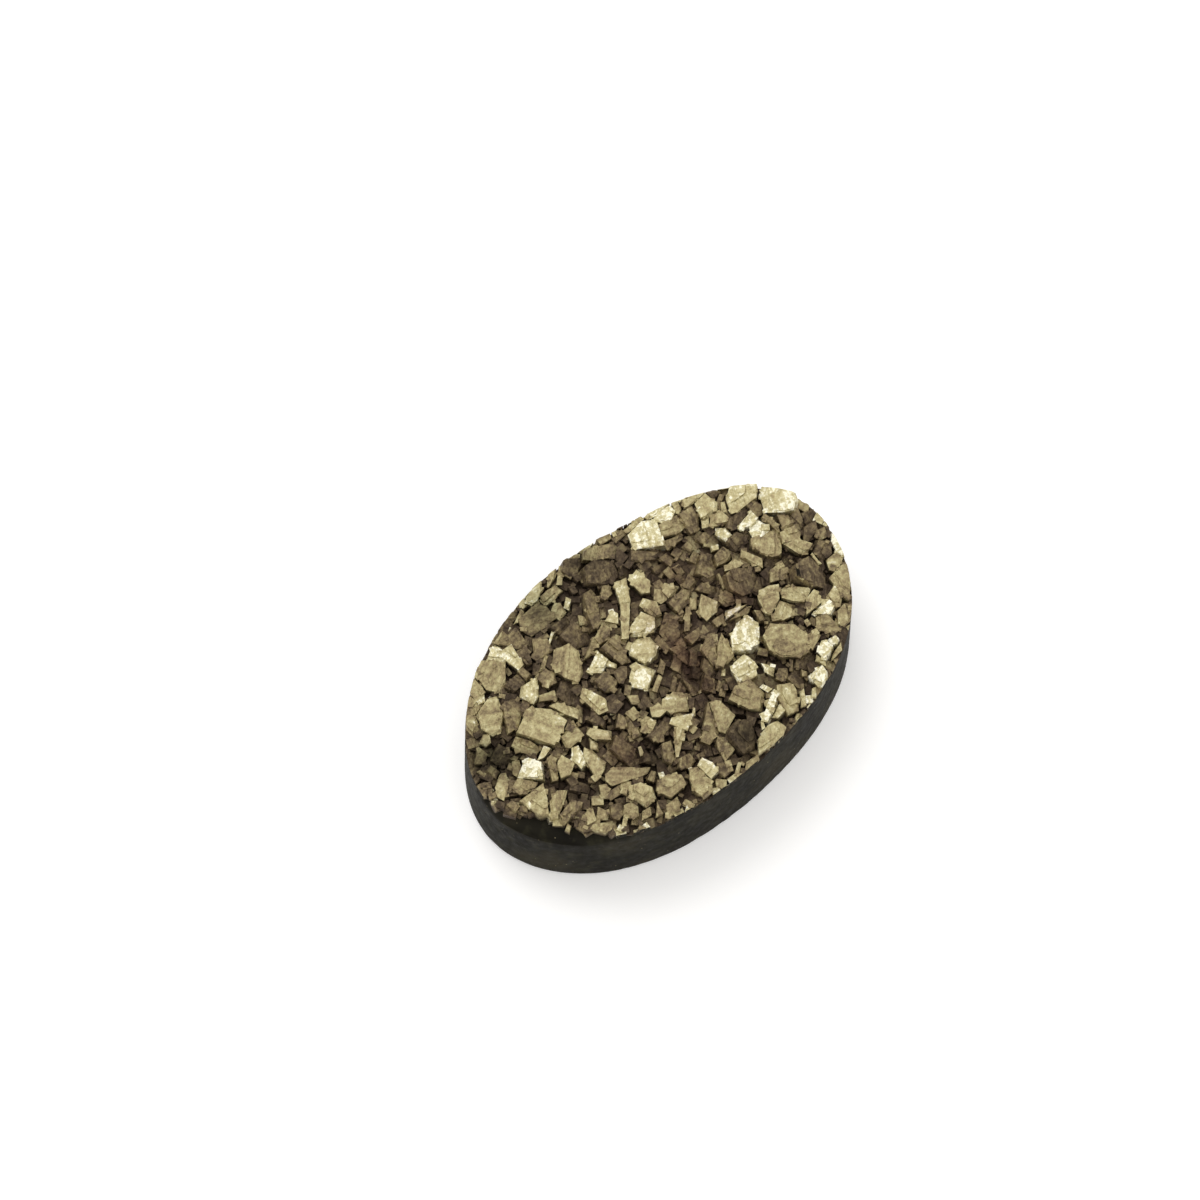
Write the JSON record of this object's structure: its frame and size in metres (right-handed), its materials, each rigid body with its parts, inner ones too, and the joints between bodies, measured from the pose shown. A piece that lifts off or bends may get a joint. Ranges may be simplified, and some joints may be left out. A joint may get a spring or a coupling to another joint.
{
  "type": "pyrite druse cabochon",
  "caption": "Oval cabochon of dark matrix with a flat ground back and a crust of small brassy pyrite crystals grown together on top",
  "frame": {"origin": "middle of the flat ground back", "axes": "+X along the oval's long axis, +Z out of the back towards the crystals"},
  "size_m": [0.0278, 0.0178, 0.0072],
  "materials": {
    "matrix": "smooth-ground, satin",
    "pyrite": "natural crystal faces, bright to tarnished"
  },
  "bodies": {
    "root": {"matrix": "matrix", "pyrite_crystals": "pyrite"}
  },
  "joints": []
}
